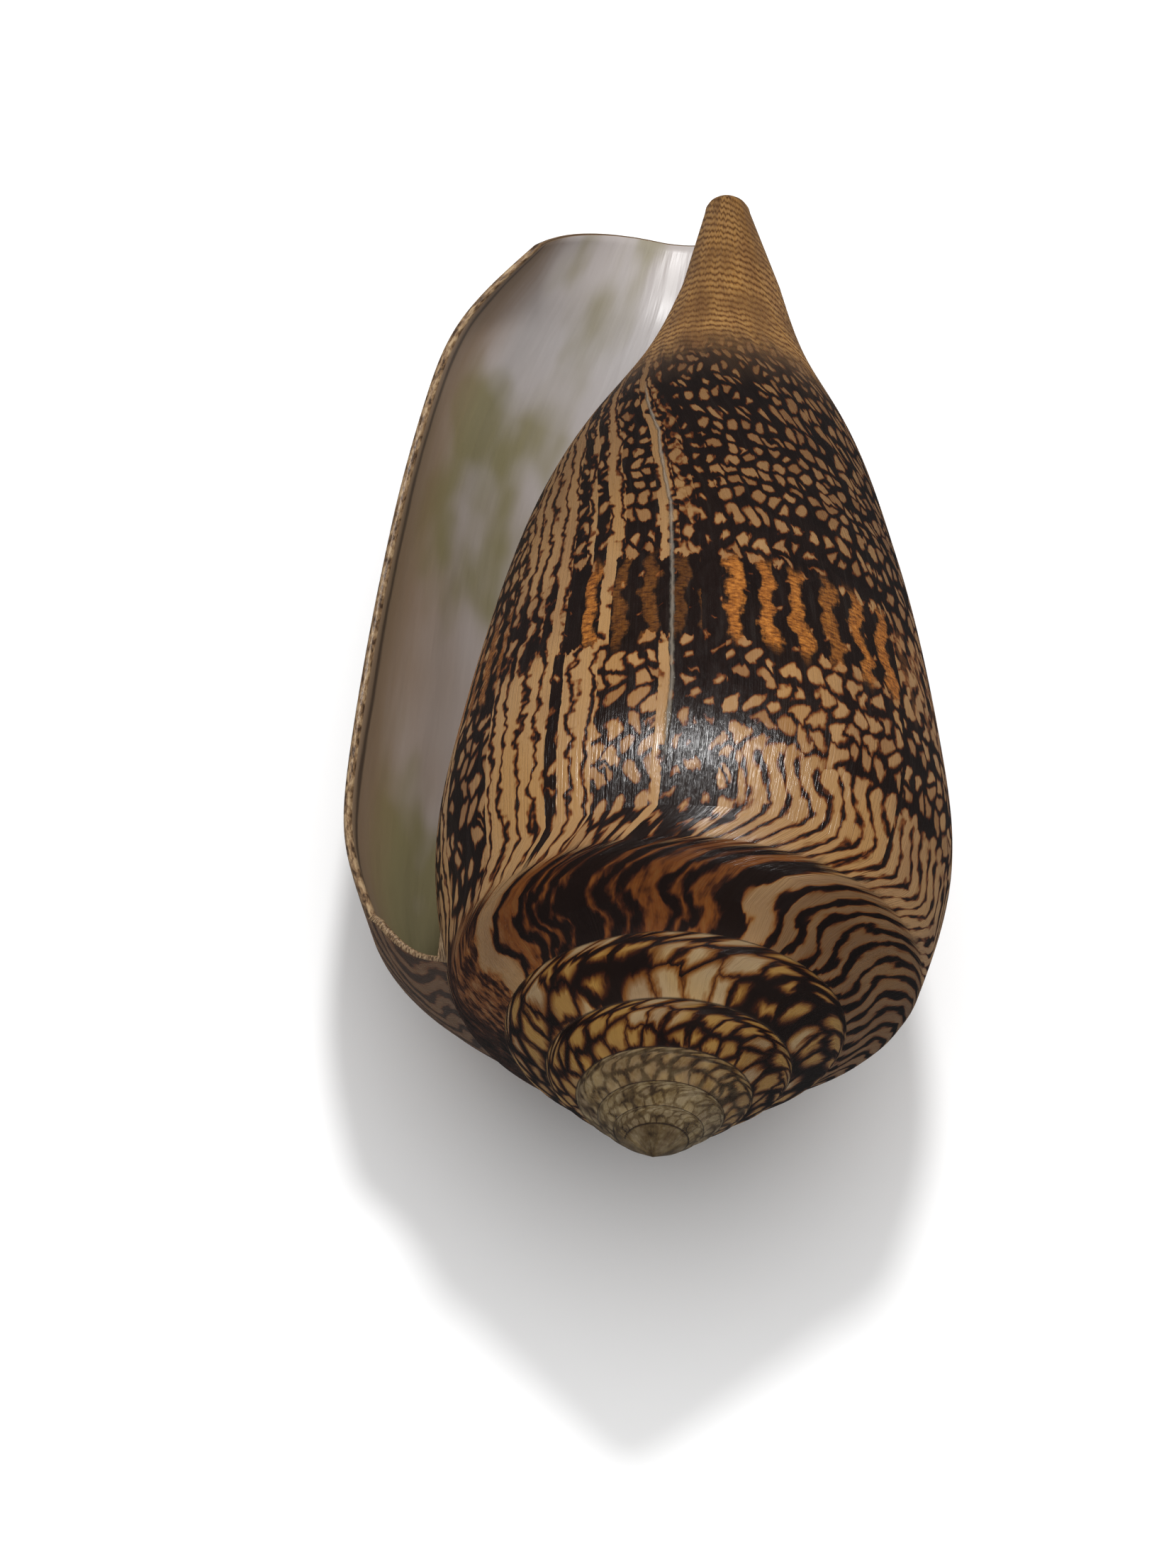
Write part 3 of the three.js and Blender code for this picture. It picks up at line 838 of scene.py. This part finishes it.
def side_markings(net, g, y, wander, fine, dark, streaky):
    """Rounded cream cells, and tan streaks between thin jagged lines, with rust rims on dark brown."""
    zigzag = (y / ZIGZAG_LENGTH + wander * 0.8).math("PINGPONG", 0.5) - 0.25
    across = g / CELL_WIDTH + zigzag * 1.2 + wander * 1.0 + fine * 0.34
    down = y.at(CELL_ROWS) + wander * 0.8 + fine * 0.3
    edge, centre, luck, shade = net.cells(across, down, 0.75)
    cells = (edge * 2.6).math("SMOOTH_MIN", (0.56 - centre) * 2.5, 0.3) + (luck - 0.5) * 0.4

    # Lines bend into chevrons below the shoulder on the right
    jag = net.ripple(g * 0.3, y * 2.0, 1, 0.5, 3.0)
    sway = net.ripple(g * 0.13, y * 0.45, 1, 0.5, 4.0)
    right = g.step(*CHEVRON_SIDE)
    bold = right * y.step(*BOLD_LINES)
    chevron = ((y - CHEVRON_START) / CHEVRON_LENGTH).math("PINGPONG", 0.5) * 2.6
    line = g / LINE_SPACING + zigzag * 0.35 + chevron * right + wander * 0.5 + sway * 1.4
    line = line + jag * (0.8 - bold * 0.4)
    streaky = streaky.math("MAXIMUM", bold * 0.8)
    dark = dark * (1 - bold * 0.35) * (1 - streaky * 0.5 * (1 - right))
    streaks = line.waves() + net.ripple(g * 0.6, y * 1.2, 2, 0.6, 5.0) * 0.8

    level = (net.blend(streaky, cells, streaks) - dark * 0.72) * 2.6
    body = net.colors(level, BODY_COLORS)
    body = net.mix(shade * 0.8 * (1 - streaky), body, CELL_SHADE, "MULTIPLY")
    worn = net.noise(g * 0.5, y * 0.25, 3, 0.6, 8.0).step(0.52, 0.66) * level.step(0.25, 0.0)
    return net.mix(worn * 0.3, body, WORN_DARK)


def amber_band(net, g, y, wander, fine, warm):
    """Upright amber bars with fine level threads. Gives the colour and how much of it shows."""
    right = (g - BAR_PLACE) / BAR_SPACING
    left = (g - LEFT_BAR_PLACE) / LEFT_BAR_SPACING
    scallop = net.ripple(g * 0.07, y * 0.9, 1, 0.5, 6.5)
    bar = net.blend(g.step(*RIGHT_BARS), left, right) + fine * 0.35 + wander * 0.35 + scallop * 0.9
    edge_y = y + net.ripple(g * 0.3, 0.0, 1, 0.5, 6.0) * 2.4
    inside = edge_y.step(*BAR_TOPS) * edge_y.step(*BAR_FEET)
    threads = net.noise(g * 0.5, y * 7.0, 2, 0.7, 7.0)
    return net.colors(threads, THREAD_COLORS), (bar + 0.5).waves().step(0.42, 0.72) * warm * inside


def ramp_flames(net, g, y, wander):
    """Curved flames from the suture to the shoulder: amber on black, and cream to the right."""
    swing = (y / FLAME_SWING + wander * 4.0).math("SINE")
    bent = g + swing * 2.3 + net.ripple(g * 0.1, y * 0.6, 2, 0.5, 12.0) * 5.0
    older = bent.at(RAMP_FLAMES)
    newer = (bent / FLAME_SPACING).waves() + net.ripple(g * 0.1, y * 0.3, 1, 0.5, 14.0) * 0.8
    right = g.step(*EVEN_FLAMES)
    flames = net.blend(right, older, newer) + net.ripple(g * 0.4, y * 0.9, 2, 0.6, 13.0) * 0.8
    cream = g.step(*CREAM_FLAMES) + g.step(*LEFT_CREAM_FLAMES) * g.step(*LEFT_CREAM_END)
    color = net.mix(cream, net.colors(flames, AMBER_FLAME_COLORS), net.colors(flames, CREAM_FLAME_COLORS))
    return net.mix(right * 0.7, color, RAMP_SHADE, "MULTIPLY")


def spire_markings(net, g, y, wander, fine, spot):
    """Big cream and amber cells with dark lines, small ones at the shoulder; worn to the apex."""
    across = g / SPIRE_CELL_WIDTH + wander * 0.7 + fine * 0.15
    down = y.at(SPIRE_ROWS) + wander * 0.5 + fine * 0.12
    edge, centre, luck, shade = net.cells(across, down, 0.8)
    tone = g.at(SPIRE_TONES)
    cells = (edge * 3.2).math("SMOOTH_MIN", (0.74 - centre) * 2.0, 0.25)
    level = cells + tone * 0.6 - 0.38 + (luck - 0.5) * 0.4
    share = (shade + (0.5 - tone) + g.step(*WARMER_TURNS) * 0.35).step(0.35, 0.6)
    fresh = net.mix(share, net.colors(level, SPIRE_PALE_COLORS), net.colors(level, SPIRE_WARM_COLORS))

    # Eroded top, and the dark line of the suture
    trace = (level.step(0.0, 0.6) - 0.5) * 0.18 * y.step(*CLEAR_OF_SUTURE)
    grain = net.noise_at(spot, 1.3, 4, 0.65) + trace
    worn = (g + wander * 120).step(*WORN_TURNS)
    marked = net.mix(worn, fresh, net.colors(grain, ERODED_COLORS))
    suture = y.step(*SUTURE_BELOW) * y.step(*SUTURE_ABOVE) + y.step(*SUTURE_NEXT)
    return net.mix(suture * 0.85, marked, SUTURE_DARK)


def siphon_end(net, g, y, wander, fine):
    """Yellow tan with fine brown arcs."""
    arcs = (y * ARCS_PER_MM + g * 0.03 + wander * 1.6).waves() + fine * 1.4
    shade = net.noise(g * 0.03, y * 0.25, 2, 0.5, 18.0)
    return net.mix(shade.step(0.4, 0.65) * 0.65, net.colors(arcs, SIPHON_COLORS), SIPHON_BROWN)


def outside_material():
    """Brown, cream and amber markings that follow the growth of the shell."""
    net = Net("shell_outside")
    g, y = net.parts("grown")
    wander = net.ripple(g * 0.2, y * 0.3, 2, 0.5, 1.0)
    fine = net.ripple(g * 0.8, y * 1.8, 2, 0.6, 2.0)
    edge_y = y + wander * 1.4 + fine * 1.0

    # The turn that the view shows has its own columns; the rest of the shell has like ones in another order
    shown = g.window(SHOWN_START, SHOWN_END, 0.5)
    dark, streaky, warm = column_shares(net, g + wander * 1.8 + fine * 0.7, edge_y)
    _, luck, mood = net.voronoi(g / PATCH_WIDTH + fine * 0.2, y / PATCH_LENGTH + wander * 0.3)
    dark = net.blend(shown, luck * 0.35 + 0.15, dark) + y.at(DARKER_DOWN)
    streaky = net.blend(shown, mood.step(0.6, 0.7), streaky)
    warm = net.blend(shown, 0.8, warm)
    body = side_markings(net, g, y, wander, fine, dark, streaky)
    amber, amber_share = amber_band(net, g, y, wander, fine, warm)
    body = net.mix(amber_share, body, amber)

    # Ramp, older turns and siphon end
    on_spire = g.step(*OLDER_TURNS) * y.step(*SPIRE)
    front_y = y + wander * 3.0
    body = net.mix(edge_y.step(*RAMP), body, ramp_flames(net, g, y, wander))
    body = net.mix(on_spire, body, spire_markings(net, g, y, wander, fine, net.spot()))
    # Painted shade: the lower side is darkened by a multiplied grey-brown
    body = net.mix(y.at(PAINTED_SHADE_DOWN), body, PAINTED_SHADE_TINT, "MULTIPLY")
    # A darker brown towards the base of the siphon
    body = net.mix(front_y.step(*SIPHON_BASE_SPAN) * 0.45, body, SIPHON_BASE_BROWN)
    body = net.mix(front_y.step(*SIPHON), body, siphon_end(net, g, y, wander, fine))

    # Faint clouds, and a duller brown towards the lip
    clouds = net.colors(net.noise(g * 0.05, y * 0.12, 2, 0.5, 9.0), CLOUD_COLORS)
    body = net.mix(1.0, body, clouds, "MULTIPLY")
    body = net.mix(g.step(*LIP_SIDE) * 0.4, body, LIP_SIDE_BROWN)

    # The old growth scar and the growth lines
    scar = (g - SCAR_PLACE + fine * 1.0).window(-SCAR_HALF, SCAR_HALF, 0.35)
    scar = scar * y.window(SCAR_START, SCAR_END, 1.0)
    body = net.mix(scar * 0.7, body, SCAR_GREY)
    growth_line = net.noise(g * 2.2, y * 0.15, 3, 0.6, 20.0)
    body = net.mix(growth_line.step(0.60, 0.72) * 0.3, body, LINE_SHADE, "MULTIPLY")
    height = growth_line * 0.7 + scar * 1.2 + net.noise(g * 0.5, y * 0.8, 3, 0.6, 21.0) * 0.6
    roughness = net.noise(g * 1.1, y * 1.2, 3, 0.7, 22.0) * 0.34 + 0.03 + net.edgewise() * 0.5
    return net.finish(body, roughness, height, OUTSIDE_RELIEF)


def inside_material():
    """Lavender grey with olive stains, whiter to the front, brown along the lip."""
    net = Net("shell_inside")
    a, y = net.parts("grown")
    fine = net.noise(a * 0.35, y * 0.2, 3, 0.6, 31.0)
    body = net.colors(net.noise(a * 0.025, y * 0.07, 2, 0.5, 30.0), INSIDE_COLORS)
    body = net.mix(y.at(WHITE_DOWN) * a.step(*WHITE_PAST_LIP), body, INSIDE_WHITE)
    stain = net.noise(a * 0.05, y * 0.16, 2, 0.5, 33.0) + y.at(STAIN_DOWN) * 0.55
    body = net.mix(stain.step(0.55, 0.88) * a.step(*OLIVE_PAST_LIP) * 0.85, body, OLIVE)
    rim = (a + (fine - 0.5) * 6.0).step(*LIP_RIM)
    body = net.mix(rim * 0.9, body, RIM_BROWN)
    rim_line = (a + (fine - 0.5) * 2.0).window(*RIM_LINE_SPAN, 0.5)
    body = net.mix(rim_line * 0.8, body, RIM_LINE)
    body = net.mix(a.step(*DEEP_INSIDE) * 0.4, body, DEEP_GREY)
    height = net.noise(a * 0.3, y * 0.3, 2, 0.5, 34.0)
    return net.finish(body, fine * 0.15 + 0.25 + net.edgewise() * 0.3, height, INSIDE_RELIEF)


def edge_material():
    """Pale brown with dark pits."""
    net = Net("shell_edge")
    across, y = net.parts("grown")
    pits = net.noise(across * 2.0, y * 1.4, 3, 0.7, 40.0)
    return net.finish(net.colors(pits, EDGE_COLORS), pits * 0.2 + 0.3, pits, EDGE_RELIEF)


mesh.materials.append(outside_material())
mesh.materials.append(inside_material())
mesh.materials.append(edge_material())

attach(shell, "root")
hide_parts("shell")

# Floor, light and camera
bpy.ops.mesh.primitive_plane_add(size=FLOOR_SIZE)
floor = bpy.context.object
floor.name = "floor"
paper = bpy.data.materials.new("floor")
paper.use_nodes = True
paper.node_tree.nodes["Principled BSDF"].inputs["Base Color"].default_value = FLOOR_COLOR
paper.node_tree.nodes["Principled BSDF"].inputs["Roughness"].default_value = FLOOR_ROUGHNESS
floor.data.materials.append(paper)
floor.visible_glossy = False

# Soft light from above, dimmer towards the horizon
world = bpy.data.worlds.new("studio")
world.use_nodes = True
tree = world.node_tree
direction = tree.nodes.new("ShaderNodeTexCoord")
height_split = tree.nodes.new("ShaderNodeSeparateXYZ")
sky = tree.nodes.new("ShaderNodeMapRange")
sky.interpolation_type = "SMOOTHSTEP"
sky.inputs["From Min"].default_value = SKY_LOW
sky.inputs["From Max"].default_value = SKY_HIGH
sky.inputs["To Min"].default_value = SKY_DIM
sky.inputs["To Max"].default_value = SKY_BRIGHT
tree.links.new(direction.outputs["Generated"], height_split.inputs[0])
tree.links.new(height_split.outputs["Z"], sky.inputs["Value"])
tree.links.new(sky.outputs["Result"], tree.nodes["Background"].inputs["Strength"])
tree.nodes["Background"].inputs["Color"].default_value = (1, 1, 1, 1)
bpy.context.scene.world = world


def area_light(name, location, target, size, power, mirrored):
    """A round lamp; one that isn't mirrored leaves no reflection on the gloss."""
    data = bpy.data.lights.new(name, "AREA")
    data.shape = "DISK"
    data.size = size
    data.energy = power
    lamp = bpy.data.objects.new(name, data)
    lamp.location = location
    lamp.visible_glossy = mirrored
    lamp.rotation_euler = (Vector(target) - Vector(location)).to_track_quat("-Z", "Y").to_euler()
    bpy.context.scene.collection.objects.link(lamp)


# Where the eye is and which ways it looks
view_c, view_s = math.cos(VIEW_TILT), math.sin(VIEW_TILT)
lean_c, lean_s = math.cos(VIEW_LEAN), math.sin(VIEW_LEAN)
tilt = np.array([[1.0, 0.0, 0.0], [0.0, view_s, -view_c], [0.0, view_c, view_s]])
lean = np.array([[lean_c, lean_s, 0], [-lean_s, lean_c, 0], [0, 0, 1]])
look = lean @ tilt
centre = np.array([-(APEX_PIXEL[0] - IMAGE_SIZE[0] / 2) * VIEW_DISTANCE / VIEW_FOCAL,
                   (APEX_PIXEL[1] - IMAGE_SIZE[1] / 2) * VIEW_DISTANCE / VIEW_FOCAL, VIEW_DISTANCE])
eye = to_row_frame(look.T @ centre) + shift
right_way, up_way, back_way = (to_row_frame(look[i]) for i in range(3))

# The key lamp stands where the glossy patch on the last turn mirrors it to the camera
glint = to_row_frame(np.array(GLINT_POINT)) + shift
upright = to_row_frame(np.array(GLINT_NORMAL))
to_eye = (eye - glint) / np.linalg.norm(eye - glint)
to_lamp = 2 * (to_eye @ upright) * upright - to_eye
key_place = (glint + to_lamp * KEY_DISTANCE) * MM
area_light("key", key_place, glint * MM, KEY_SIZE, KEY_POWER, mirrored=True)
area_light("soft", SOFT_PLACE, (0, 0, 0), SOFT_SIZE, SOFT_POWER, mirrored=False)

camera_data = bpy.data.cameras.new("camera")
camera_data.sensor_width = SENSOR_WIDTH
camera_data.lens = VIEW_FOCAL * SENSOR_WIDTH / IMAGE_SIZE[1]
camera_data.clip_start = 0.01
camera_data.clip_end = 20.0
camera = bpy.data.objects.new("camera", camera_data)
rows = [[right_way[i], up_way[i], back_way[i], eye[i] * MM] for i in range(3)]
camera.matrix_world = Matrix(rows + [[0, 0, 0, 1]])
bpy.context.scene.collection.objects.link(camera)
bpy.context.scene.camera = camera
bpy.context.scene.view_settings.view_transform = "Standard"
